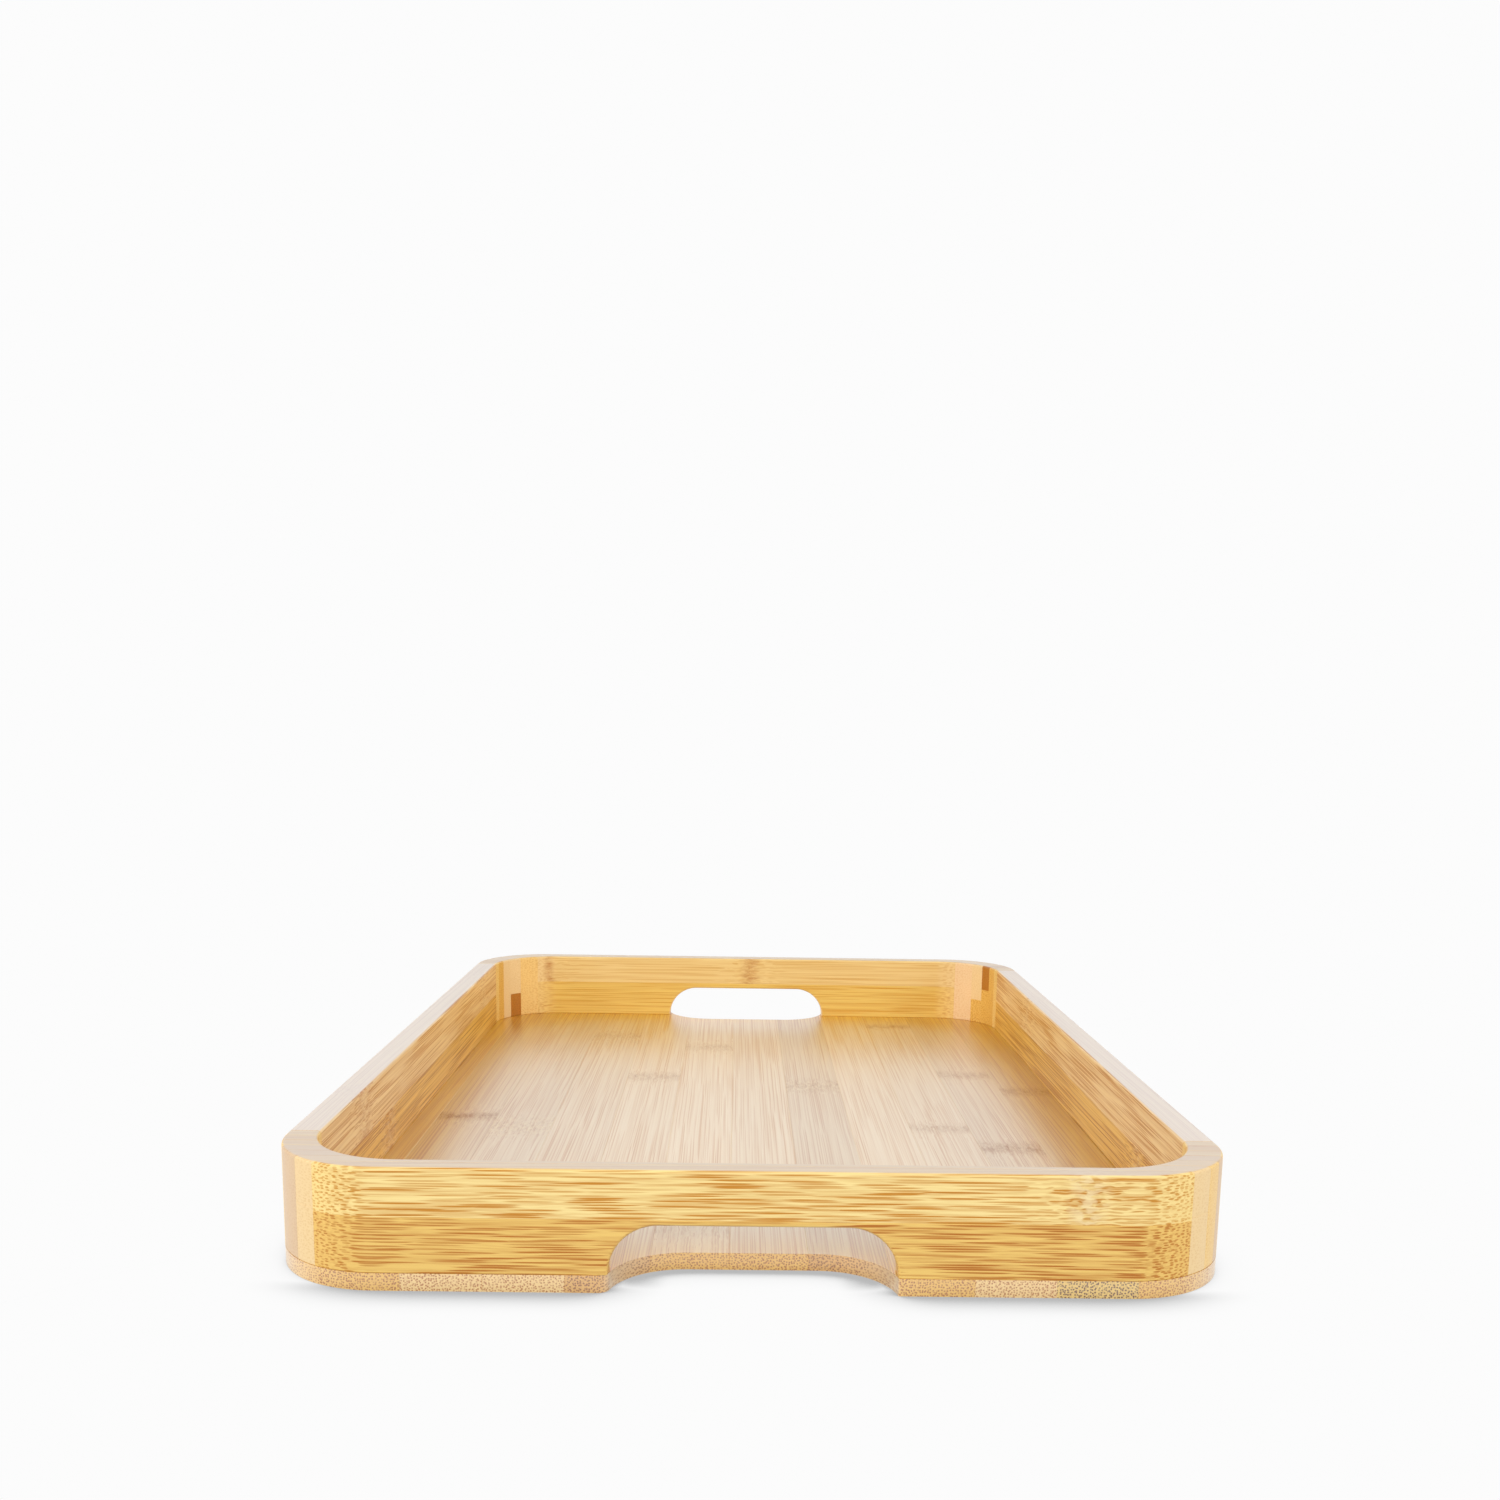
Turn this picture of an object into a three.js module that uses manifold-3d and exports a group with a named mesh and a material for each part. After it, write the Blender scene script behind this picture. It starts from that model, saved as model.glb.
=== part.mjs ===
// A bamboo serving tray: a floor of strips glued edge to edge, two laminated end
// walls with hand holds, and two side walls butted between them.
//
// Millimetres. X runs across the tray, Y along it and Z up. The origin is on the
// underside, at the centre of the tray. The front end is at -Y, the left side at -X.

import * as THREE from 'three';
import { mergeVertices } from 'three/addons/utils/BufferGeometryUtils.js';
import Module from 'manifold-3d';

const wasm = await Module();
wasm.setup();

// Overall size.
const WIDTH = 325;
const LENGTH = 450;
const HEIGHT = 42;
const FLOOR_THICKNESS = 6;

// The walls, seen from above.
const SIDE_WALL_THICKNESS = 11.2;
const END_WALL_THICKNESS = 9.4;
const OUTER_CORNER_RADIUS = 38.5;
const INNER_CORNER_RADIUS = 33.5;

// The floor's strips. One glue line lies a little to the right of the centre line.
const STRIP_WIDTH = 26.9;
const CENTRE_GLUE_LINE_X = 19.1;

// Each end wall is cut from a block of layers, counted from its outer face inward.
// The first layers run the whole width. The others are left only at the corners.
const LAYER_THICKNESS = 5.9;
const END_LAYERS = 7;
const FULL_WIDTH_LAYERS = 2;

// Heights of the glue line between a lower and an upper lamella. A layer that has
// no height here is one lamella as high as the wall.
const LAYER_GLUE_HEIGHTS = { 1: 25, 2: 26, 4: 20, 5: 27 };
const SIDE_GLUE_HEIGHT = 23;

// The hand hold rises from the floor through the end wall. Its upper corners are round.
const HAND_HOLD = { halfWidth: 47.5, depth: 17, cornerRadius: 16.5 };

// The scallop in the floor's edge under the hand hold, for the fingers.
const SCALLOP = { halfWidth: 48.1, depth: 22, cornerRadius: 26 };

// A loose tongue glued across each butt joint, hidden inside the wall. It reaches
// through whole layers of the end block, and as far into the side wall.
const TONGUE_LAYERS = 2;
const TONGUE = { thickness: 4, bottom: 12, top: 36, inset: 6 };

const ARC_SEGMENTS = 10;
const CUT_OVERRUN = 10;

const ENDS = [{ name: 'front', sign: -1 }, { name: 'rear', sign: 1 }];
const SIDES = [{ name: 'left', sign: -1 }, { name: 'right', sign: 1 }];

const BAMBOO = {
  floor: [0xe2c79d, 0xdcbd8e, 0xe6cda6, 0xd9b887],
  endUpper: 0xe6c078,
  endLower: 0xd8a457,
  cornerLayers: [0xdcb067, 0xf0d6a2, 0xd9a75c],
  side: 0xd9aa62,
  tongue: 0xcda562,
};

// ---------------------------------------------------------------- shapes

function roundedRectangle(width, length, radius) {
  const right = width / 2;
  const back = length / 2;
  const shape = new THREE.Shape();
  shape.moveTo(-right + radius, -back);
  shape.lineTo(right - radius, -back);
  shape.absarc(right - radius, -back + radius, radius, -Math.PI / 2, 0);
  shape.lineTo(right, back - radius);
  shape.absarc(right - radius, back - radius, radius, 0, Math.PI / 2);
  shape.lineTo(-right + radius, back);
  shape.absarc(-right + radius, back - radius, radius, Math.PI / 2, Math.PI);
  shape.lineTo(-right, -back + radius);
  shape.absarc(-right + radius, -back + radius, radius, Math.PI, Math.PI * 1.5);
  return shape;
}

// A mouth that opens across y = 0 and has two rounded corners at its depth.
function mouthShape({ halfWidth, depth, cornerRadius }) {
  const arcX = halfWidth - cornerRadius;
  const arcY = depth - cornerRadius;
  const shape = new THREE.Shape();
  shape.moveTo(-halfWidth, -CUT_OVERRUN);
  shape.lineTo(halfWidth, -CUT_OVERRUN);
  shape.lineTo(halfWidth, arcY);
  shape.absarc(arcX, arcY, cornerRadius, 0, Math.PI / 2);
  shape.lineTo(-arcX, depth);
  shape.absarc(-arcX, arcY, cornerRadius, Math.PI / 2, Math.PI);
  shape.lineTo(-halfWidth, -CUT_OVERRUN);
  return shape;
}

// ---------------------------------------------------------------- solids

function toSolid(geometry) {
  geometry.deleteAttribute('normal');
  geometry.deleteAttribute('uv');
  const merged = mergeVertices(geometry);
  const vertProperties = new Float32Array(merged.attributes.position.array);
  const triVerts = new Uint32Array(merged.index.array);
  return new wasm.Manifold(new wasm.Mesh({ numProp: 3, vertProperties, triVerts }));
}

function toMesh(solid, name, color) {
  const { vertProperties, triVerts } = solid.getMesh();
  const geometry = new THREE.BufferGeometry();
  geometry.setAttribute('position', new THREE.BufferAttribute(vertProperties, 3));
  geometry.setIndex(new THREE.BufferAttribute(triVerts, 1));
  geometry.computeVertexNormals();
  const material = new THREE.MeshStandardMaterial({ color, roughness: 0.42, metalness: 0 });
  const mesh = new THREE.Mesh(geometry, material);
  mesh.name = name;
  return mesh;
}

function extrude(shape, bottom, top) {
  const options = { depth: top - bottom, bevelEnabled: false, curveSegments: ARC_SEGMENTS };
  const geometry = new THREE.ExtrudeGeometry(shape, options);
  geometry.translate(0, 0, bottom);
  return geometry;
}

function block(x, y, z) {
  const [x0, x1] = [Math.min(...x), Math.max(...x)];
  const [y0, y1] = [Math.min(...y), Math.max(...y)];
  const geometry = new THREE.BoxGeometry(x1 - x0, y1 - y0, z[1] - z[0]);
  geometry.translate((x0 + x1) / 2, (y0 + y1) / 2, (z[0] + z[1]) / 2);
  return toSolid(geometry);
}

// A distance inward from an end's outer face, as a Y position.
function depthToY(end, depth) {
  return end.sign * (LENGTH / 2 - depth);
}

function floorPanel() {
  const outline = roundedRectangle(WIDTH, LENGTH, OUTER_CORNER_RADIUS);
  let panel = toSolid(extrude(outline, 0, FLOOR_THICKNESS));
  for (const end of ENDS) {
    panel = panel.subtract(scallopCutter(end));
  }
  return panel;
}

function wallRing() {
  const ring = roundedRectangle(WIDTH, LENGTH, OUTER_CORNER_RADIUS);
  const innerWidth = WIDTH - 2 * SIDE_WALL_THICKNESS;
  const innerLength = LENGTH - 2 * END_WALL_THICKNESS;
  ring.holes.push(roundedRectangle(innerWidth, innerLength, INNER_CORNER_RADIUS));
  return toSolid(extrude(ring, FLOOR_THICKNESS, HEIGHT));
}

function scallopCutter(end) {
  const geometry = extrude(mouthShape(SCALLOP), -CUT_OVERRUN, FLOOR_THICKNESS + CUT_OVERRUN);
  geometry.translate(0, -LENGTH / 2, 0);
  if (end.sign > 0) {
    geometry.rotateZ(Math.PI);
  }
  return toSolid(geometry);
}

function handHoldCutter(end) {
  const through = END_WALL_THICKNESS + CUT_OVERRUN;
  const geometry = extrude(mouthShape(HAND_HOLD), -through, through);
  geometry.rotateX(Math.PI / 2);
  geometry.translate(0, depthToY(end, END_WALL_THICKNESS / 2), FLOOR_THICKNESS);
  return toSolid(geometry);
}

function tongueSolid(end, side) {
  const x = side.sign * (WIDTH / 2 - TONGUE.inset);
  const joint = END_LAYERS * LAYER_THICKNESS;
  const reach = TONGUE_LAYERS * LAYER_THICKNESS;
  return block(
    [x - TONGUE.thickness / 2, x + TONGUE.thickness / 2],
    [depthToY(end, joint - reach), depthToY(end, joint + reach)],
    [TONGUE.bottom, TONGUE.top],
  );
}

// ---------------------------------------------------------------- sub-parts

function floorStrips(panel) {
  const stripsToTheLeft = Math.ceil((CENTRE_GLUE_LINE_X + WIDTH / 2) / STRIP_WIDTH);
  const strips = [];
  let left = -WIDTH / 2;
  for (let line = 1 - stripsToTheLeft; left < WIDTH / 2; line += 1) {
    const right = Math.min(CENTRE_GLUE_LINE_X + line * STRIP_WIDTH, WIDTH / 2);
    const slab = block([left, right], [-LENGTH, LENGTH], [-CUT_OVERRUN, HEIGHT]);
    const number = String(strips.length + 1).padStart(2, '0');
    const color = BAMBOO.floor[strips.length % BAMBOO.floor.length];
    strips.push(toMesh(panel.intersect(slab), `floor_strip_${number}`, color));
    left = right;
  }
  return strips;
}

// The lamellae of one layer, as height ranges with a name ending.
function lamellaRanges(layer) {
  const glueHeight = LAYER_GLUE_HEIGHTS[layer];
  if (glueHeight === undefined) {
    return [{ ending: '', z: [FLOOR_THICKNESS, HEIGHT] }];
  }
  return [
    { ending: '_lower', z: [FLOOR_THICKNESS, glueHeight] },
    { ending: '_upper', z: [glueHeight, HEIGHT] },
  ];
}

function layerY(end, layer) {
  return [depthToY(end, (layer - 1) * LAYER_THICKNESS), depthToY(end, layer * LAYER_THICKNESS)];
}

function endWallLamellae(ring, end) {
  const wall = ring.subtract(handHoldCutter(end));
  const lamellae = [];
  for (let layer = 1; layer <= FULL_WIDTH_LAYERS; layer += 1) {
    for (const { ending, z } of lamellaRanges(layer)) {
      const slab = block([-WIDTH, WIDTH], layerY(end, layer), z);
      const color = ending === '_upper' ? BAMBOO.endUpper : BAMBOO.endLower;
      lamellae.push(toMesh(wall.intersect(slab), `${end.name}_end_layer_${layer}${ending}`, color));
    }
  }
  return lamellae;
}

function cornerLamellae(ring, end, side) {
  const corner = ring.subtract(tongueSolid(end, side));
  const lamellae = [];
  for (let layer = FULL_WIDTH_LAYERS + 1; layer <= END_LAYERS; layer += 1) {
    for (const { ending, z } of lamellaRanges(layer)) {
      const slab = block([0, side.sign * WIDTH], layerY(end, layer), z);
      const color = BAMBOO.cornerLayers[layer % BAMBOO.cornerLayers.length];
      const name = `${end.name}_${side.name}_corner_layer_${layer}${ending}`;
      lamellae.push(toMesh(corner.intersect(slab), name, color));
    }
  }
  return lamellae;
}

function sideWallLamellae(ring, side) {
  let wall = ring;
  for (const end of ENDS) {
    wall = wall.subtract(tongueSolid(end, side));
  }
  const jointY = LENGTH / 2 - END_LAYERS * LAYER_THICKNESS;
  const ranges = { lower: [FLOOR_THICKNESS, SIDE_GLUE_HEIGHT], upper: [SIDE_GLUE_HEIGHT, HEIGHT] };
  return Object.entries(ranges).map(([level, z]) => {
    const slab = block([0, side.sign * WIDTH], [-jointY, jointY], z);
    return toMesh(wall.intersect(slab), `${side.name}_side_${level}`, BAMBOO.side);
  });
}

// ---------------------------------------------------------------- the tray

const tray = new THREE.Group();
const ring = wallRing();

tray.add(...floorStrips(floorPanel()));
for (const end of ENDS) {
  tray.add(...endWallLamellae(ring, end));
  for (const side of SIDES) {
    tray.add(...cornerLamellae(ring, end, side));
    tray.add(toMesh(tongueSolid(end, side), `${end.name}_${side.name}_tongue`, BAMBOO.tongue));
  }
}
for (const side of SIDES) {
  tray.add(...sideWallLamellae(ring, side));
}

export default tray;
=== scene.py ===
"""The looks of a bamboo serving tray: a floor of glued strips, two laminated end walls
with hand holds, and two side walls. Metres, +Z up, the tray's front end at -Y."""

import math
import random
from collections import namedtuple

import bmesh
import bpy
from mathutils import Matrix, Vector


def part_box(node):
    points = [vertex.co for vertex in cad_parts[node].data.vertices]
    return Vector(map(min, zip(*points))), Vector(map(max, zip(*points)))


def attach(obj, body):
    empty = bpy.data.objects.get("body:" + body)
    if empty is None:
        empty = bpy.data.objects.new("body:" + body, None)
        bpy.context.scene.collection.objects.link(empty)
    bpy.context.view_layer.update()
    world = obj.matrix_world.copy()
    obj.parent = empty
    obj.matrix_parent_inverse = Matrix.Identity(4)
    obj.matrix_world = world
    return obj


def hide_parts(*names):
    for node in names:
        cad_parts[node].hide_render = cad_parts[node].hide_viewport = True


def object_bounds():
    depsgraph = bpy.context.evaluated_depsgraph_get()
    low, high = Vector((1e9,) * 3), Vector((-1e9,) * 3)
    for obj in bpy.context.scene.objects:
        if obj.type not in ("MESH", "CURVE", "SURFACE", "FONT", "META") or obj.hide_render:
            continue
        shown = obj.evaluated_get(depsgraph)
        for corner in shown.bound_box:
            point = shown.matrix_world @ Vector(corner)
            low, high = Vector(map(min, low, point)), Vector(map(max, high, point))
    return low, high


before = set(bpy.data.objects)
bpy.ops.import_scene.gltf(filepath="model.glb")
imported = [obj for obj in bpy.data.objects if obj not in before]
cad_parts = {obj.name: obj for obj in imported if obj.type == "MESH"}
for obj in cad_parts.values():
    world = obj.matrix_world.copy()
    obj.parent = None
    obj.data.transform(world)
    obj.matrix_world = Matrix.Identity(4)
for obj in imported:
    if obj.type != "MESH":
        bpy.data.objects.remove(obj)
cad_low, cad_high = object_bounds()

MM = 0.001

# ---------------------------------------------------------------- sizes

HALF_WIDTH = cad_high.x
HALF_LENGTH = cad_high.y
RIM = cad_high.z
WALL_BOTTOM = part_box("front_end_layer_1_lower")[0].z

SIDE_WALL_THICKNESS = 11.2 * MM
END_WALL_THICKNESS = 9.4 * MM
OUTER_CORNER_RADIUS = 38.5 * MM
INNER_CORNER_RADIUS = 33.5 * MM

HAND_HOLD_HALF_WIDTH = 47.5 * MM
HAND_HOLD_HEIGHT = 17 * MM
HAND_HOLD_RADIUS = 16.5 * MM

SCALLOP_HALF_WIDTH = 48.1 * MM
SCALLOP_DEPTH = 22 * MM
SCALLOP_RADIUS = 26 * MM
MOUTH_EASE_LEFT = 4 * MM
MOUTH_EASE_RIGHT = 1 * MM

# How far each kind of edge is rounded or chamfered.
RIM_EASE = 1.2 * MM
FOOT_EASE = 0.25 * MM
HAND_HOLD_EASE = 1.0 * MM
GLUE_LINE_EASE = 0.09 * MM
BUTT_JOINT_EASE = 0.2 * MM

SLOT_CLEARANCE = 0.05 * MM

# The turn from one face to the next at an edge: the least at a corner, the most at a
# corner that is eased, and the most that is shaded smooth.
LEAST_CORNER = math.radians(30)
SHARPEST_EASED = math.radians(140)
LARGEST_SMOOTHED = math.radians(32)

ARC_STEP = math.radians(3)
OVERRUN = 10 * MM
TOLERANCE = 0.02 * MM
GLUE_FACE_TOLERANCE = 0.002 * MM
CUT_TOLERANCE = 0.0001 * MM
WELD_DISTANCE = 0.001 * MM


# ---------------------------------------------------------------- outlines

def arc(centre, radius, start, end):
    """Points on an arc between two angles, both ends included."""
    steps = max(2, round(abs(end - start) / ARC_STEP))
    points = []
    for step in range(steps + 1):
        angle = start + (end - start) * step / steps
        x = centre[0] + radius * math.cos(angle)
        y = centre[1] + radius * math.sin(angle)
        points.append(Vector((x, y)))
    return points


def rounded_rectangle(half_width, half_length, radius):
    """Anticlockwise from the front left corner."""
    x = half_width - radius
    y = half_length - radius
    quarter = math.pi / 2
    points = []
    for turn, centre in enumerate(((-x, -y), (x, -y), (x, y), (-x, y))):
        points += arc(centre, radius, math.pi + turn * quarter, math.pi + (turn + 1) * quarter)
    return points


def scallop_side(side, ease):
    """One side of the front scallop, from the end face to the scallop's flat bottom."""
    centre = Vector((side * (SCALLOP_HALF_WIDTH - SCALLOP_RADIUS),
                     -HALF_LENGTH + SCALLOP_DEPTH - SCALLOP_RADIUS))
    ease_y = -HALF_LENGTH + ease
    reach = math.sqrt((SCALLOP_RADIUS + ease) ** 2 - (ease_y - centre.y) ** 2)
    ease_centre = Vector((centre.x + side * reach, ease_y))
    towards_scallop = math.atan2(centre.y - ease_centre.y, centre.x - ease_centre.x)
    mouth = arc(ease_centre, ease, -math.pi / 2, towards_scallop)
    hollow = arc(centre, SCALLOP_RADIUS, towards_scallop + math.pi, math.pi / 2)
    return mouth + hollow[1:]


def floor_outline():
    """Anticlockwise from the left side, with a scallop in each end. The rear mirrors the front."""
    corners = rounded_rectangle(HALF_WIDTH, HALF_LENGTH, OUTER_CORNER_RADIUS)
    quarter = len(corners) // 4
    left = scallop_side(-1, MOUTH_EASE_LEFT)
    right = scallop_side(1, MOUTH_EASE_RIGHT)
    half = corners[:quarter] + left + right[::-1] + corners[quarter:2 * quarter]
    return half + [Vector((point.x, -point.y)) for point in reversed(half)]


# ---------------------------------------------------------------- solids

def prism(outline, bottom, top):
    """A closed solid over an outline."""
    bm = bmesh.new()
    lower = [bm.verts.new((point.x, point.y, bottom)) for point in outline]
    upper = [bm.verts.new((point.x, point.y, top)) for point in outline]
    bm.faces.new(lower[::-1])
    bm.faces.new(upper)
    for index in range(len(outline)):
        following = (index + 1) % len(outline)
        bm.faces.new((lower[index], lower[following], upper[following], upper[index]))
    bm.normal_update()
    return bm


def ring(outer, inner, bottom, top):
    """A closed wall between two outlines that have the same number of points."""
    bm = bmesh.new()
    loops = []
    for outline, height in ((outer, bottom), (outer, top), (inner, top), (inner, bottom)):
        loops.append([bm.verts.new((point.x, point.y, height)) for point in outline])
    for index in range(len(outer)):
        following = (index + 1) % len(outer)
        for here, there in zip(loops, loops[1:] + loops[:1]):
            bm.faces.new((here[index], here[following], there[following], there[index]))
    return bm


def box_solid(low, high):
    """A block between two corners."""
    bm = bmesh.new()
    matrix = Matrix.Translation((low + high) / 2) @ Matrix.Diagonal((*(high - low), 1))
    bmesh.ops.create_cube(bm, size=1, matrix=matrix)
    return bm


def to_object(bm, name):
    """An object in the scene with the bmesh's shape. The bmesh is used up."""
    bmesh.ops.recalc_face_normals(bm, faces=bm.faces)
    mesh = bpy.data.meshes.new(name)
    bm.to_mesh(mesh)
    bm.free()
    piece = bpy.data.objects.new(name, mesh)
    bpy.context.scene.collection.objects.link(piece)
    return piece


def cut_away(solid, cutters):
    """The solid as a new bmesh, with each cutter's room taken out of it."""
    piece = to_object(solid, "uncut")
    cutting = [to_object(cutter, "cutter") for cutter in cutters]
    for cutter in cutting:
        modifier = piece.modifiers.new("cut", "BOOLEAN")
        modifier.operation = "DIFFERENCE"
        modifier.solver = "EXACT"
        modifier.object = cutter
    graph = bpy.context.evaluated_depsgraph_get()
    result = bmesh.new()
    result.from_object(piece, graph)
    for used in [piece] + cutting:
        bpy.data.meshes.remove(used.data)
    return result


def hand_hold_cutter(end):
    """The hand hold's room: a mouth open at the wall's bottom, round at its upper corners."""
    arc_x = HAND_HOLD_HALF_WIDTH - HAND_HOLD_RADIUS
    arc_z = WALL_BOTTOM + HAND_HOLD_HEIGHT - HAND_HOLD_RADIUS
    outline = [Vector((-HAND_HOLD_HALF_WIDTH, -OVERRUN)), Vector((HAND_HOLD_HALF_WIDTH, -OVERRUN))]
    outline += arc((arc_x, arc_z), HAND_HOLD_RADIUS, 0, math.pi / 2)
    outline += arc((-arc_x, arc_z), HAND_HOLD_RADIUS, math.pi / 2, math.pi)
    bm = prism(outline, -END_WALL_THICKNESS, END_WALL_THICKNESS)
    upright = Matrix.Translation((0, end * HALF_LENGTH, 0)) @ Matrix.Rotation(math.pi / 2, 4, "X")
    bmesh.ops.transform(bm, matrix=upright, verts=bm.verts)
    return bm


def tongue_cutter(node):
    """A tongue's slot, a little larger than the tongue all round."""
    clearance = Vector((SLOT_CLEARANCE, SLOT_CLEARANCE, SLOT_CLEARANCE))
    low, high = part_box(node)
    return box_solid(low - clearance, high + clearance)


def bevel(bm, edges, width, segments, clamp_overlap=True):
    bmesh.ops.bevel(bm, geom=edges, offset=width, offset_type="OFFSET", segments=segments,
                    profile=0.5, affect="EDGES", clamp_overlap=clamp_overlap)


def is_corner(edge):
    return len(edge.link_faces) == 2 and edge.calc_face_angle(0) > LEAST_CORNER


def corners_where(bm, holds):
    """The corner edges of a bmesh whose two ends both pass a test."""
    return [edge for edge in bm.edges
            if is_corner(edge) and all(holds(vert.co) for vert in edge.verts)]


def is_on_rim(place):
    return place.z > RIM - TOLERANCE


def is_on_wall_bottom(place):
    return abs(place.z - WALL_BOTTOM) < TOLERANCE


def is_on_hand_hold(place):
    """True on an end wall's faces, within the hand hold's width and under its top."""
    depth = HALF_LENGTH - abs(place.y)
    on_face = min(abs(depth), abs(depth - END_WALL_THICKNESS)) < TOLERANCE
    inside = abs(place.x) < HAND_HOLD_HALF_WIDTH + TOLERANCE
    return on_face and inside and place.z < WALL_BOTTOM + HAND_HOLD_HEIGHT + TOLERANCE


def make_walls():
    """All the walls as one solid, with hand holds, slots for the tongues and eased edges."""
    outer = rounded_rectangle(HALF_WIDTH, HALF_LENGTH, OUTER_CORNER_RADIUS)
    inner = rounded_rectangle(HALF_WIDTH - SIDE_WALL_THICKNESS, HALF_LENGTH - END_WALL_THICKNESS,
                              INNER_CORNER_RADIUS)
    cutters = [hand_hold_cutter(-1), hand_hold_cutter(1)]
    cutters += [tongue_cutter(node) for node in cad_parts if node.endswith("tongue")]
    walls = cut_away(ring(outer, inner, WALL_BOTTOM, RIM), cutters)
    hand_hold_edges = [edge for edge in corners_where(walls, is_on_hand_hold)
                       if not all(is_on_wall_bottom(vert.co) for vert in edge.verts)]
    bevel(walls, hand_hold_edges, HAND_HOLD_EASE, segments=4)
    bevel(walls, corners_where(walls, is_on_rim), RIM_EASE, segments=4)
    bevel(walls, corners_where(walls, is_on_wall_bottom), FOOT_EASE, segments=1)
    bmesh.ops.triangulate(walls, faces=[face for face in walls.faces if len(face.verts) > 4])
    return walls


def make_floor():
    """The whole floor panel, with a scallop in each end."""
    panel = prism(floor_outline(), cad_low.z, WALL_BOTTOM)
    bmesh.ops.triangulate(panel, faces=[face for face in panel.faces if len(face.verts) > 4])
    return panel


# ---------------------------------------------------------------- cutting pieces from the solids

def keep_side(bm, axis, place, above):
    """Cuts on a plane across an axis, keeps one side and closes it.

    A cut across X is closed by one face. Other cuts can have a slot's hole in them, so
    they are closed by triangles."""
    normal = Vector((0, 0, 0))
    normal[axis] = 1
    cut = bmesh.ops.bisect_plane(bm, geom=bm.verts[:] + bm.edges[:] + bm.faces[:],
                                 dist=CUT_TOLERANCE, plane_co=normal * place, plane_no=normal,
                                 clear_inner=above, clear_outer=not above)
    edges = [item for item in cut["geom_cut"] if isinstance(item, bmesh.types.BMEdge)]
    outward = -normal if above else normal
    if edges and axis == 0:
        bmesh.ops.edgenet_fill(bm, edges=edges)
    elif edges:
        bmesh.ops.triangle_fill(bm, use_beauty=True, edges=edges, normal=outward)
    bmesh.ops.recalc_face_normals(bm, faces=bm.faces)


def ease_glue_edges(bm, axis, place, width):
    """A hair of a chamfer round the face that is glued, so that the glue line shows."""
    edges = []
    for edge in bm.edges:
        on_face = all(abs(vert.co[axis] - place) < GLUE_FACE_TOLERANCE for vert in edge.verts)
        if on_face and is_corner(edge) and edge.calc_face_angle() < SHARPEST_EASED:
            edges.append(edge)
    if edges:
        bevel(bm, edges, width, segments=1, clamp_overlap=False)


def carve(solid, node, glue_axes, end_ease=GLUE_LINE_EASE):
    """The piece of a solid that one CAD node stands for.

    It is cut on the node's glued faces. Where the node ends at the solid's own surface,
    the cut runs outside the node's box and only parts it from what lies further off."""
    bm = solid.copy()
    solid_low = Vector([min(vert.co[axis] for vert in solid.verts) for axis in range(3)])
    solid_high = Vector([max(vert.co[axis] for vert in solid.verts) for axis in range(3)])
    low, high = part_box(node)
    glued = []
    for axis in range(3):
        for place, end_of_solid, above in ((low[axis], solid_low[axis], True),
                                           (high[axis], solid_high[axis], False)):
            if axis in glue_axes and abs(place - end_of_solid) > TOLERANCE:
                keep_side(bm, axis, place, above)
                glued.append((axis, place))
            else:
                keep_side(bm, axis, place - OVERRUN if above else place + OVERRUN, above)
    for axis, place in glued:
        ease_glue_edges(bm, axis, place, end_ease if axis == 1 else GLUE_LINE_EASE)
    bmesh.ops.remove_doubles(bm, verts=bm.verts, dist=WELD_DISTANCE)
    return to_object(bm, "bamboo_" + node)


def shade(piece):
    """Smooth shading with sharp corners, and flat faces that stay flat beside rounded edges."""
    mesh = piece.data
    mesh.shade_smooth()
    mesh.set_sharp_from_angle(angle=LARGEST_SMOOTHED)
    modifier = piece.modifiers.new("face_weighted_normals", "WEIGHTED_NORMAL")
    modifier.keep_sharp = True
    modifier.weight = 60


# ---------------------------------------------------------------- shader nodes

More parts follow.
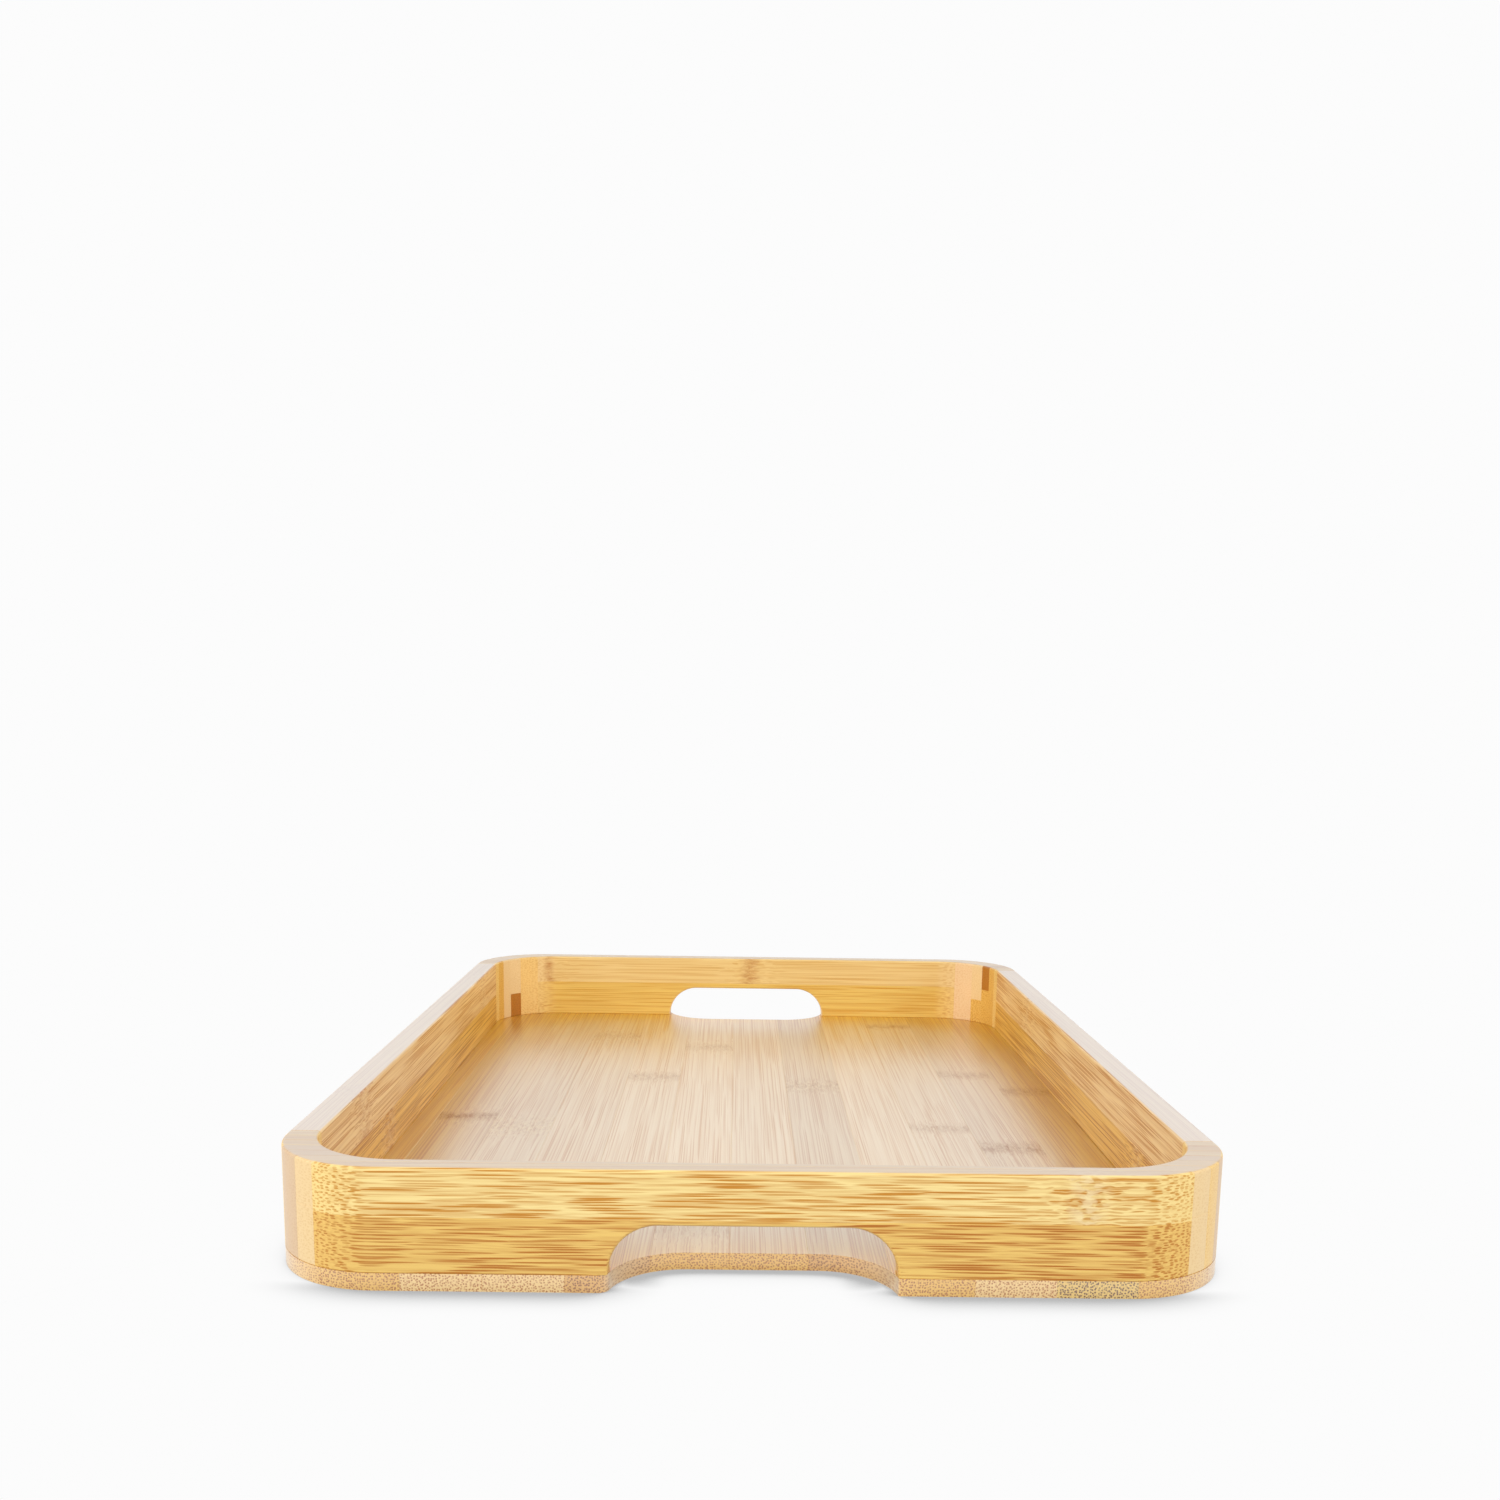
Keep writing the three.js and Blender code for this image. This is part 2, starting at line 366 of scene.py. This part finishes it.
class Nodes:
    """Adds shader nodes to a tree and links their inputs by name, or by number as _0, _1."""

    def __init__(self, tree):
        self.tree = tree

    def add(self, kind, settings=None, **inputs):
        node = self.tree.nodes.new("ShaderNode" + kind)
        for name, value in (settings or {}).items():
            setattr(node, name, value)
        for name, value in inputs.items():
            self.set(node, name, value)
        return node

    def set(self, node, name, value):
        """Links a socket to an input, or sets the input to a number or colour."""
        key = int(name[1:]) if name[0] == "_" else name.replace("_", " ")
        socket = node.inputs[key]
        if isinstance(value, bpy.types.NodeSocket):
            self.tree.links.new(value, socket)
        else:
            socket.default_value = value

    def math(self, operation, *values, clamp=False):
        node = self.add("Math", {"operation": operation, "use_clamp": clamp})
        for index, value in enumerate(values):
            self.set(node, f"_{index}", value)
        return node.outputs[0]

    def vector_math(self, operation, **inputs):
        return self.add("VectorMath", {"operation": operation}, **inputs).outputs[0]

    def ranged(self, value, low, high, to_low=0.0, to_high=1.0, smooth=True):
        """A value carried over from one range to another, and held at the range's ends."""
        kind = "SMOOTHSTEP" if smooth else "LINEAR"
        node = self.add("MapRange", {"interpolation_type": kind}, Value=value)
        for name, number in (("From Min", low), ("From Max", high),
                             ("To Min", to_low), ("To Max", to_high)):
            node.inputs[name].default_value = number
        return node.outputs[0]

    def mix(self, factor, first, second, blend="MIX"):
        """The first colour, with a factor's share of the second mixed or multiplied in."""
        node = self.add("Mix", {"data_type": "RGBA", "blend_type": blend})
        self.set(node, "_0", factor)
        self.set(node, "_6", first)
        self.set(node, "_7", second)
        return node.outputs[2]

    def noise(self, vector, scale, detail=1.0, roughness=0.5, output="Fac"):
        """Noise with its own scale along each axis."""
        stretched = self.add("Mapping", Vector=vector, Scale=scale).outputs[0]
        node = self.add("TexNoise", Vector=stretched, Scale=1.0, Detail=detail, Roughness=roughness)
        return node.outputs[output]

    def split(self, vector):
        return self.add("SeparateXYZ", Vector=vector).outputs

    def geometry(self, output):
        return self.split(self.add("NewGeometry").outputs[output])

    def openness(self, reach, samples):
        """1 in the open, lower near other surfaces within reach."""
        return self.add("AmbientOcclusion", {"samples": samples}, Distance=reach).outputs["AO"]


def new_material(name):
    """An empty material and its nodes."""
    material = bpy.data.materials.new(name)
    material.use_nodes = True
    material.node_tree.nodes.clear()
    return material, Nodes(material.node_tree)


def colour(red, green, blue):
    """An sRGB colour, 0 to 255, as linear light."""
    def linear(value):
        value /= 255
        return value / 12.92 if value <= 0.04045 else ((value + 0.055) / 1.055) ** 2.4
    return (linear(red), linear(green), linear(blue), 1.0)


# ---------------------------------------------------------------- bamboo

SCAR_DARK = colour(150, 86, 40)
SCAR_TAN = colour(178, 104, 22)
SCAR_PALE = colour(252, 232, 178)
DEEP = colour(170, 100, 14)
# Painted shade: the golden tone that the floor is multiplied by near the walls.
PAINTED_SHADE_TINT = colour(255, 228, 30)
# Painted sheen: the pale tones of the walls' upper faces, whiter along the sides than across the
# ends.
PAINTED_SHEEN_SIDE = colour(235, 226, 220)
PAINTED_SHEEN_END = colour(219, 201, 184)

# Tones of the ground and the streaks along the fibres, and of both where the fibres are
# cut across. The contrast of the fibres. The degrees by which they dive under the broad
# face. 1 for lacquer, 0 for none.
Look = namedtuple("Look", "ground streak contrast end_ground end_streak dive lacquer")

# A joint of the culm: its place and half width in millimetres along the fibres, and how
# strong its brown stain and its pale crescents are.
Joint = namedtuple("Joint", "place half_width stain glint", defaults=(4.0, 1.0, 1.0))

# Each pattern's scale: cycles in a millimetre, along the fibres and to both sides.
WAVES = (1 / 60, 1 / 9, 1 / 9)
SWIRLS = (1 / 7, 1 / 2.5, 1 / 2.5)
CURLS = (1 / 2.5, 1 / 2, 1 / 2)
WOBBLE = (0.02, 0.3, 0.3)
BANDS = (1 / 220, 1 / 1.1, 1 / 1.1)
TONES = (1 / 90, 1 / 6, 1 / 6)
HAIRS = (1 / 90, 2.2, 2.2)
CRESCENTS = (0.25, 0.7, 0.7)
SMUDGES = (0.14, 0.4, 0.4)

# Millimetres from one fibre bundle to the next.
BUNDLE_PITCH = 0.9

# How far the fibres stray, in millimetres: everywhere, near a joint and in its scar.
WAVE_HEIGHT = 0.7
SWIRL_HEIGHT = 1.8
CURL_HEIGHT = 1.2

# Millimetres along the fibres: how uneven a joint is, and how far the swirls go on from it.
WOBBLE_LENGTH = 6.0
JOINT_REACH = 30

# How much each pattern darkens the bamboo.
BUNDLE_SHARE = 0.75
BAND_SHARE = 0.36
HAIR_SHARE = 0.7

# Painted shade: near the walls, where they hide the floor, its colour is darkened and turned
# golden, standing in for the shade and the walls' reflected light there. The lacquer is thinner
# there too.
PAINTED_SHADE_REACH = 50 * MM
PAINTED_SHADE_SHARE = 0.9
THINNED_BY_WALL = 0.45
THINNED_BY_STAIN = 0.8

# Painted sheen: how far the walls' upper faces are painted towards their pale tone, standing in for
# the glare on the rims.
PAINTED_SHEEN_SHARE = 0.78

BAMBOO_IOR = 1.6
LACQUER_IOR = 2.3
LACQUER_ROUGHNESS = 0.3
BUMP_HEIGHT = 0.015 * MM
BARE_BUMP = 0.2
LACQUERED_BUMP = 0.05

MILLIMETRES_PER_METRE = 1000
PATTERN_SIZE = 500


def fibre_space(nodes, fibre_axis, look, draw):
    """Millimetres with X along the fibres, which dive under the broad face, so that their
    cuts are darts. Each piece has its own place in the pattern."""
    turn = -math.pi / 2 if fibre_axis == "Y" else 0
    turned = nodes.add("Mapping", Vector=nodes.add("TexCoord").outputs["Object"],
                       Scale=(MILLIMETRES_PER_METRE,) * 3, Rotation=(0, 0, turn))
    dive = math.radians(look.dive * draw.uniform(0.8, 1.2)) * draw.choice((-1, 1))
    skew = math.radians(draw.uniform(-0.3, 0.3))
    place = (0, draw.uniform(0, PATTERN_SIZE), draw.uniform(0, PATTERN_SIZE))
    tilt = (0, dive, skew) if look.lacquer else (0, skew, dive)
    return nodes.add("Mapping", Vector=turned.outputs[0], Rotation=tilt, Location=place).outputs[0]


def shaken(nodes, vector, scale, amount):
    """A vector pushed about by noise, by about an amount either way."""
    noise = nodes.noise(vector, scale, output="Color")
    centred = nodes.vector_math("SUBTRACT", _0=noise, _1=(0.5, 0.5, 0.5))
    push = nodes.vector_math("SCALE", _0=centred, Scale=amount)
    return nodes.vector_math("ADD", _0=vector, _1=push)


def joint_masks(nodes, fibre, joints):
    """Where the joints are: a wide mask for the fibres' swirls, and narrow ones for the
    stained scar and for its crescents."""
    along = nodes.split(fibre)[0]
    wobble = nodes.noise(fibre, WOBBLE, detail=2.0)
    along = nodes.math("MULTIPLY_ADD", nodes.math("SUBTRACT", wobble, 0.5), WOBBLE_LENGTH, along)
    masks = []
    for joint in joints:
        distance = nodes.math("ABSOLUTE", nodes.math("SUBTRACT", along, joint.place))
        near = nodes.ranged(distance, JOINT_REACH, 0.0)
        thin = nodes.ranged(distance, joint.half_width, 0.0)
        scar = nodes.math("MULTIPLY", thin, joint.stain)
        masks.append((near, scar, nodes.math("MULTIPLY", thin, joint.glint)))
    joined = masks[0]
    for more in masks[1:]:
        joined = [nodes.math("MAXIMUM", first, second) for first, second in zip(joined, more)]
    return joined


def bundle_sections(nodes, warped):
    """1 in the middle of each fibre bundle, 0 between them. Some bundles are fainter."""
    place = nodes.split(warped)
    section = nodes.add("CombineXYZ", X=place[1], Y=place[2]).outputs[0]
    cells = nodes.add("TexVoronoi", {"feature": "F1", "voronoi_dimensions": "2D"},
                      Vector=section, Scale=1 / BUNDLE_PITCH, Randomness=0.8).outputs
    bundle = nodes.ranged(cells["Distance"], 0.4, 0.24)
    lot = nodes.add("SeparateColor", Color=cells["Color"]).outputs[0]
    return nodes.math("MULTIPLY", bundle, nodes.ranged(lot, 0.0, 1.0, 0.6, 1.0))


def fibre_darkness(nodes, fibre, warped, hairs, cut_across, look):
    """How far the fibres take the colour from the ground's tone to the streak's."""
    bands = nodes.ranged(nodes.noise(warped, BANDS, detail=3.0, roughness=0.6), 0.35, 0.65)
    bands = nodes.math("MULTIPLY", bands, nodes.ranged(cut_across, 0.1, 0.6, 1.0, 0.3))
    bundles = nodes.math("MULTIPLY", bundle_sections(nodes, warped), BUNDLE_SHARE)
    darkness = nodes.math("MULTIPLY_ADD", bands, BAND_SHARE, bundles)
    centred_hairs = nodes.math("SUBTRACT", hairs, 0.5)
    darkness = nodes.math("MULTIPLY_ADD", centred_hairs, HAIR_SHARE, darkness)
    strength = nodes.ranged(nodes.noise(fibre, TONES), 0.3, 0.7, 0.8, 1.2)
    darkness = nodes.math("MULTIPLY", nodes.math("MULTIPLY", darkness, strength), look.contrast)
    end_strength = nodes.ranged(cut_across, 0.3, 1.0, 1.0, 1.0 + 0.5 * look.lacquer)
    return nodes.math("MULTIPLY", darkness, end_strength)


def fibre_tones(nodes, darkness, cut_across, look):
    ground = nodes.mix(cut_across, look.ground, look.end_ground)
    streak = nodes.mix(cut_across, look.streak, look.end_streak)
    surface = nodes.mix(nodes.ranged(darkness, 0.0, 1.0, smooth=False), ground, streak)
    return nodes.mix(nodes.ranged(darkness, 0.9, 1.6, 0.0, 0.3), surface, DEEP)


def stained_joints(nodes, surface, warped, scar, glints, look):
    """The colour with pale crescents and brown smudges at the joints, and the smudges' mask."""
    crescents = nodes.ranged(nodes.noise(warped, CRESCENTS), 0.4, 0.56)
    glint = nodes.math("MULTIPLY", glints, crescents)
    surface = nodes.mix(nodes.math("MULTIPLY", glint, 0.8), surface, SCAR_PALE)
    smudges = nodes.noise(warped, SMUDGES, detail=3.0, roughness=0.75)
    stain = nodes.math("MULTIPLY", scar, nodes.ranged(smudges, 0.36, 0.7, 0.25, 1.0))
    scar_tone = SCAR_DARK if look.lacquer else SCAR_TAN
    return nodes.mix(nodes.math("MULTIPLY", stain, 0.8), surface, scar_tone), stain


def lacquered(nodes, surface, stain, facing_up):
    """The colour with painted golden shade beside the walls, and the lacquer's weight."""
    near_wall = nodes.ranged(nodes.openness(PAINTED_SHADE_REACH, samples=8), 0.98, 0.6, 0.0, PAINTED_SHADE_SHARE)
    painted_shade = nodes.math("MULTIPLY", near_wall, nodes.ranged(facing_up, 0.5, 0.9))
    coat = nodes.math("MULTIPLY_ADD", painted_shade, -THINNED_BY_WALL, 1.0)
    coat = nodes.math("MULTIPLY_ADD", stain, -THINNED_BY_STAIN, coat, clamp=True)
    return nodes.mix(painted_shade, surface, PAINTED_SHADE_TINT, "MULTIPLY"), coat


def painted_top_sheen(nodes, surface, fibre_axis, facing_up):
    """The colour with the upper faces painted paler, a painted sheen."""
    tone = PAINTED_SHEEN_SIDE if fibre_axis == "Y" else PAINTED_SHEEN_END
    return nodes.mix(nodes.ranged(facing_up, 0.75, 0.98, 0.0, PAINTED_SHEEN_SHARE), surface, tone)


def bamboo(name, fibre_axis, seed, look, joints=()):
    """Long fibre bundles that show as streaks, darts or dots, as the surface cuts them."""
    material, nodes = new_material(name)
    fibre = fibre_space(nodes, fibre_axis, look, random.Random(seed))
    cut_across = nodes.math("ABSOLUTE", nodes.geometry("Normal")[fibre_axis])
    facing_up = nodes.geometry("Normal")["Z"]
    warped = shaken(nodes, fibre, WAVES, WAVE_HEIGHT)
    if joints:
        near, scar, glints = joint_masks(nodes, fibre, joints)
        warped = shaken(nodes, warped, SWIRLS, nodes.math("MULTIPLY", near, SWIRL_HEIGHT))
        warped = shaken(nodes, warped, CURLS, nodes.math("MULTIPLY", scar, CURL_HEIGHT))
    hairs = nodes.noise(warped, HAIRS)
    darkness = fibre_darkness(nodes, fibre, warped, hairs, cut_across, look)
    surface = fibre_tones(nodes, darkness, cut_across, look)
    stain = 0.0
    if joints:
        surface, stain = stained_joints(nodes, surface, warped, scar, glints, look)
    if look.lacquer:
        surface, coat = lacquered(nodes, surface, stain, facing_up)
    else:
        surface, coat = painted_top_sheen(nodes, surface, fibre_axis, facing_up), 0.0

    bump_strength = LACQUERED_BUMP if look.lacquer else BARE_BUMP
    bump = nodes.add("Bump", Height=hairs, Strength=bump_strength, Distance=BUMP_HEIGHT)
    roughness = nodes.ranged(hairs, 0.2, 0.8, 0.3, 0.38, smooth=False)
    shader = nodes.add("BsdfPrincipled", Base_Color=surface, Roughness=roughness, IOR=BAMBOO_IOR,
                       Normal=bump.outputs[0], Coat_Weight=coat, Coat_IOR=LACQUER_IOR,
                       Coat_Roughness=LACQUER_ROUGHNESS)
    nodes.add("OutputMaterial", Surface=shader.outputs[0])
    return material


# ---------------------------------------------------------------- the tray's pieces

# Each kind of piece counts its materials' seeds up from its own number.
FLOOR_SEED = 100
END_SEED = 200
CORNER_SEED = 300
SIDE_SEED = 400
TONGUE_SEED = 500


def finish_piece(piece, node, material):
    """Dresses a piece and puts it in its node's stead."""
    piece.data.materials.append(material)
    shade(piece)
    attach(piece, "root")
    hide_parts(node)


def blend(first, second, share):
    """A tone between two, with a share of the second."""
    return [one + (other - one) * share for one, other in zip(first, second)]


def make_look(ground, streak, contrast, dive, end_tones, lacquer):
    """A look from sRGB tones."""
    tones = [colour(*tone) for tone in (ground, streak, *end_tones)]
    return Look(tones[0], tones[1], contrast, tones[2], tones[3], dive, lacquer)


def wall_look(ground, streak, contrast, dive=2.0, end_tones=None):
    """A wall's look. By default, a cut across the fibres shows them more softly."""
    soft_tones = (blend(ground, streak, 0.2), blend(ground, streak, 0.6))
    return make_look(ground, streak, contrast, dive, end_tones or soft_tones, lacquer=0.0)


FLOOR_GROUND = (226, 197, 152)
FLOOR_STREAK = (192, 132, 30)
FLOOR_CONTRAST = 0.9
FLOOR_DIVE = 0.35

END_PALE = ((246, 209, 140), (180, 112, 40))
END_TAN = ((238, 189, 92), (166, 94, 18))
END_BROWN = ((226, 174, 92), (146, 82, 20))
END_DOTTED = ((238, 198, 108), (96, 50, 4))

# For each floor strip: how much paler it is than the panel's tone, the tones of its end
# grain, and its joints.
FLOOR_STRIPS = {
    1: (0, END_TAN, ()),
    2: (-12, END_TAN, (Joint(-30, 10, 1.0, 0),)),
    3: (-7, END_PALE, (Joint(-48, 26, 0.35, 0.4),)),
    4: (-2, END_PALE, (Joint(150, 14, 0.4, 0.1),)),
    5: (4, END_BROWN, (Joint(50, 14, 0.6, 0.1),)),
    6: (8, END_TAN, (Joint(122, 14, 0.5, 0.1), Joint(-180, 12, 0.3, 0.2))),
    7: (3, END_TAN, ()),
    8: (-12, END_BROWN, (Joint(34, 22, 0.5, 0.3),)),
    9: (6, END_TAN, (Joint(-160, 12, 0.3, 0.1),)),
    10: (2, END_PALE, (Joint(-42, 12, 0.6, 0.1), Joint(186, 10, 0.7, 0))),
    11: (-9, END_DOTTED, (Joint(62, 13, 0.6, 0), Joint(-72, 14, 0.9, 0.1))),
    12: (-17, END_TAN, (Joint(28, 14, 0.6, 0),)),
    13: (-12, END_TAN, ()),
}


def make_floor_strips(floor):
    for number, (lift, end_tones, joints) in FLOOR_STRIPS.items():
        node = f"floor_strip_{number:02d}"
        ground, streak = [[value + lift for value in tone] for tone in (FLOOR_GROUND, FLOOR_STREAK)]
        look = make_look(ground, streak, FLOOR_CONTRAST, FLOOR_DIVE, end_tones, lacquer=1.0)
        material = bamboo(node, "Y", FLOOR_SEED + number, look, joints)
        finish_piece(carve(floor, node, glue_axes=(0,)), node, material)


# The walls' tones: ground, streak and contrast, then the dive and the end tones if they
# aren't as usual.
YELLOW = ((249, 223, 150), (200, 132, 24), 1.15)
ORANGE = ((238, 198, 108), (182, 108, 12), 1.1)
CALM_YELLOW = ((242, 206, 132), (212, 158, 76), 0.8, 0.8)
SIDE_YELLOW = ((240, 206, 146), (194, 134, 58), 1.1, 0.6)
SIDE_GOLDEN = ((234, 187, 90), (172, 106, 20), 1.1, 0.5)
REAR_END = ((238, 206, 158), (222, 182, 130))
REAR_YELLOW = ((237, 206, 138), (218, 174, 98), 0.85, 0.7, REAR_END)
REAR_ORANGE = ((236, 201, 108), (210, 154, 56), 0.85, 0.7, REAR_END)
PALE = ((238, 208, 154), (214, 172, 110), 0.65)
PINK = ((220, 190, 150), (194, 148, 102), 0.7)
ROSE = ((240, 208, 160), (218, 168, 112), 0.6)
BROWN = ((188, 120, 38), (146, 84, 14), 0.8)

END_LAMELLAE = {
    "front_end_layer_1_upper": (YELLOW, (Joint(102, 9, 0.35, 0.9),)),
    "front_end_layer_1_lower": (ORANGE, ()),
    "front_end_layer_2_upper": (PALE, (Joint(-60, 5, 0.5),)),
    "front_end_layer_2_lower": (PALE, (Joint(40, 5, 0.5),)),
    "rear_end_layer_1_upper": (YELLOW, (Joint(-96, 7, 0.4, 0.8),)),
    "rear_end_layer_1_lower": (ORANGE, (Joint(70, 7, 0.4, 0.7),)),
    "rear_end_layer_2_upper": (REAR_YELLOW, (Joint(0, 8, 1.0, 0.1), Joint(-125, 4, 1.0, 0.1))),
    "rear_end_layer_2_lower": (REAR_ORANGE, ()),
}


def make_end_lamellae(walls):
    for index, (node, (tones, joints)) in enumerate(END_LAMELLAE.items()):
        material = bamboo(node, "X", END_SEED + index, wall_look(*tones), joints)
        finish_piece(carve(walls, node, glue_axes=(1, 2)), node, material)


CORNER_LOOKS = {"3": PINK, "4": PINK, "5": YELLOW, "6": ORANGE, "7": YELLOW}
OTHER_CORNER_LOOKS = {
    "front_right_corner_layer_3": CALM_YELLOW,
    "rear_left_corner_layer_3": CALM_YELLOW,
    "rear_left_corner_layer_4_upper": PALE,
    "rear_left_corner_layer_4_lower": BROWN,
    "rear_left_corner_layer_5_upper": PALE,
    "rear_left_corner_layer_5_lower": PALE,
    "rear_right_corner_layer_3": ROSE,
    "rear_right_corner_layer_4_upper": PALE,
    "rear_right_corner_layer_4_lower": ORANGE,
    "rear_right_corner_layer_5_upper": BROWN,
    "rear_right_corner_layer_5_lower": ORANGE,
}


def make_corner_lamellae(walls):
    nodes = sorted(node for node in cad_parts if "_corner_layer_" in node)
    for index, node in enumerate(nodes):
        layer = node.split("_layer_")[1][0]
        tones = OTHER_CORNER_LOOKS.get(node, CORNER_LOOKS[layer])
        material = bamboo(node, "X", CORNER_SEED + index, wall_look(*tones))
        finish_piece(carve(walls, node, glue_axes=(1, 2)), node, material)


SIDE_LAMELLAE = {
    "left_side_upper": (SIDE_YELLOW, (Joint(-126, 16, 0.7, 0.5), Joint(140, 9, 0.3, 0.4))),
    "left_side_lower": (SIDE_GOLDEN, (Joint(-88, 16, 0.7, 0.4),)),
    "right_side_upper": (SIDE_YELLOW, (Joint(90, 7, 0.3, 0.4),)),
    "right_side_lower": (SIDE_GOLDEN, (Joint(-128, 8, 0.3, 0.4),)),
}


def make_side_lamellae(walls):
    for index, (node, (tones, joints)) in enumerate(SIDE_LAMELLAE.items()):
        material = bamboo(node, "Y", SIDE_SEED + index, wall_look(*tones), joints)
        finish_piece(carve(walls, node, (1, 2), BUTT_JOINT_EASE), node, material)


def dress_tongues():
    material = bamboo("bare_bamboo", "Y", TONGUE_SEED, wall_look(*YELLOW))
    for node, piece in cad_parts.items():
        if node.endswith("tongue"):
            piece.data.materials.clear()
            piece.data.materials.append(material)


# ---------------------------------------------------------------- the studio

SENSOR_WIDTH = 36
LENS = 34.49
SHIFT_UP = 0.15
CAMERA_PLACE_IN_TRAY_WIDTHS = (-0.0223, -2.0665, 0.559)
CAMERA_PAN = math.radians(-0.61)
CAMERA_TILT = math.radians(90 - 9.59)
CAMERA_ROLL = math.radians(0.87)

# How bright the world and the stage look, and how bright they are as lights on the tray.
BACKGROUND = 0.973
WORLD_LIGHT = 0.32
STAGE_LIGHT = 0.45
STAGE_SIZE = 60
STAGE_GAP = 0.1 * MM

# The shadow on the stage: a soft one, and a sharp one along the line of contact.
SHADOW_REACH = 22 * MM
SHADOW_DEPTH = 2.9
SHADOW_FALL = 2.2
CONTACT_DEPTH = 14.0
CONTACT_FALL = 6.0
DARKEST = 0.5
SHADOW_BEHIND = 0.06
SHADOW_IN_SCALLOP = 3.0
SHADOW_BLEND = 10 * MM
SCALLOP_BLEND = 20 * MM


def make_camera():
    data = bpy.data.cameras.new("camera")
    data.sensor_width = SENSOR_WIDTH
    data.lens = LENS
    data.shift_y = SHIFT_UP
    camera = bpy.data.objects.new("camera", data)
    bpy.context.scene.collection.objects.link(camera)
    tray_width = cad_high.x - cad_low.x
    place = Vector(CAMERA_PLACE_IN_TRAY_WIDTHS) * tray_width
    turn = (Matrix.Rotation(CAMERA_PAN, 4, "Z") @ Matrix.Rotation(CAMERA_TILT, 4, "X")
            @ Matrix.Rotation(CAMERA_ROLL, 4, "Z"))
    camera.matrix_world = Matrix.Translation(place) @ turn
    bpy.context.scene.camera = camera


def seen_or_lighting(nodes, seen, lighting):
    """One strength for what the camera and reflections see, another as a light."""
    diffuse_ray = nodes.add("LightPath").outputs["Is Diffuse Ray"]
    return nodes.ranged(diffuse_ray, 0.0, 1.0, seen, lighting, smooth=False)


def make_world():
    """White all round, but dimmer as a light on the object, so that the lamps shape it."""
    world = bpy.data.worlds.new("studio")
    world.use_nodes = True
    nodes = Nodes(world.node_tree)
    background = world.node_tree.nodes["Background"]
    nodes.set(background, "Color", (1, 1, 1, 1))
    nodes.set(background, "Strength", seen_or_lighting(nodes, BACKGROUND, WORLD_LIGHT))
    bpy.context.scene.world = world
    bpy.context.scene.view_settings.view_transform = "Standard"


def stage_shadow(nodes):
    """How dark the stage is near the tray: most before its front and in the front scallop."""
    closeness = nodes.math("SUBTRACT", 1.0, nodes.openness(SHADOW_REACH, samples=24))
    contact = nodes.math("MULTIPLY", nodes.math("POWER", closeness, CONTACT_FALL), CONTACT_DEPTH)
    shadow = nodes.math("MULTIPLY", nodes.math("POWER", closeness, SHADOW_FALL), SHADOW_DEPTH)

    place = nodes.geometry("Position")
    before_front = nodes.ranged(place["Y"], -HALF_LENGTH + SHADOW_BLEND, -HALF_LENGTH)
    front_half = nodes.ranged(place["Y"], SHADOW_BLEND, 0.0)
    from_middle = nodes.math("ABSOLUTE", place["X"])
    scallop = nodes.ranged(from_middle, SCALLOP_HALF_WIDTH, SCALLOP_HALF_WIDTH - SCALLOP_BLEND,
                           0.0, SHADOW_IN_SCALLOP)
    scallop = nodes.math("MULTIPLY", scallop, nodes.math("SUBTRACT", front_half, before_front))
    shown = nodes.math("MAXIMUM", nodes.math("MAXIMUM", before_front, scallop), SHADOW_BEHIND)
    darkness = nodes.math("MAXIMUM", nodes.math("MULTIPLY", shadow, shown), contact)
    return nodes.math("MINIMUM", darkness, DARKEST)


def make_stage():
    """A white sweep lit from within, with a soft shadow only where the tray stands on it."""
    bpy.ops.mesh.primitive_plane_add(size=STAGE_SIZE, location=(0, 0, cad_low.z - STAGE_GAP))
    floor = bpy.context.object
    floor.name = "stage_floor"
    material, nodes = new_material("stage_white")
    lit = nodes.math("SUBTRACT", 1.0, stage_shadow(nodes))
    glow = nodes.math("MULTIPLY", lit, seen_or_lighting(nodes, BACKGROUND, STAGE_LIGHT))
    emission = nodes.add("Emission", Color=(1, 1, 1, 1), Strength=glow)
    nodes.add("OutputMaterial", Surface=emission.outputs[0])
    floor.data.materials.append(material)


def make_softbox(name, place, size, brightness, mirrored=False):
    """A lamp that faces the tray. Only a mirrored one shows in the lacquer."""
    data = bpy.data.lights.new(name, "AREA")
    data.shape = "RECTANGLE"
    data.size, data.size_y = size
    data.energy = brightness * math.pi * size[0] * size[1]
    lamp = bpy.data.objects.new(name, data)
    bpy.context.scene.collection.objects.link(lamp)
    lamp.visible_camera = False
    lamp.visible_glossy = mirrored
    lamp.location = place
    lamp.rotation_euler = Vector(place).to_track_quat("Z", "Y").to_euler()


def make_lights():
    make_softbox("front_softbox", (-0.3, -2.5, 1.35), (2.4, 1.1), 6.2)
    make_softbox("rear_softbox", (0.0, 2.5, 1.25), (3.2, 1.2), 0.25, mirrored=True)
    make_softbox("rear_fill", (0.3, 2.6, 0.22), (2.6, 0.36), 9.0)
    for side in (-1, 1):
        make_softbox("side_softbox", (side * 2.6, -0.3, 0.85), (1.8, 1.3), 4.8)


make_camera()
make_world()
make_stage()
make_lights()
walls_solid = make_walls()
floor_solid = make_floor()
make_floor_strips(floor_solid)
make_end_lamellae(walls_solid)
make_corner_lamellae(walls_solid)
make_side_lamellae(walls_solid)
dress_tongues()
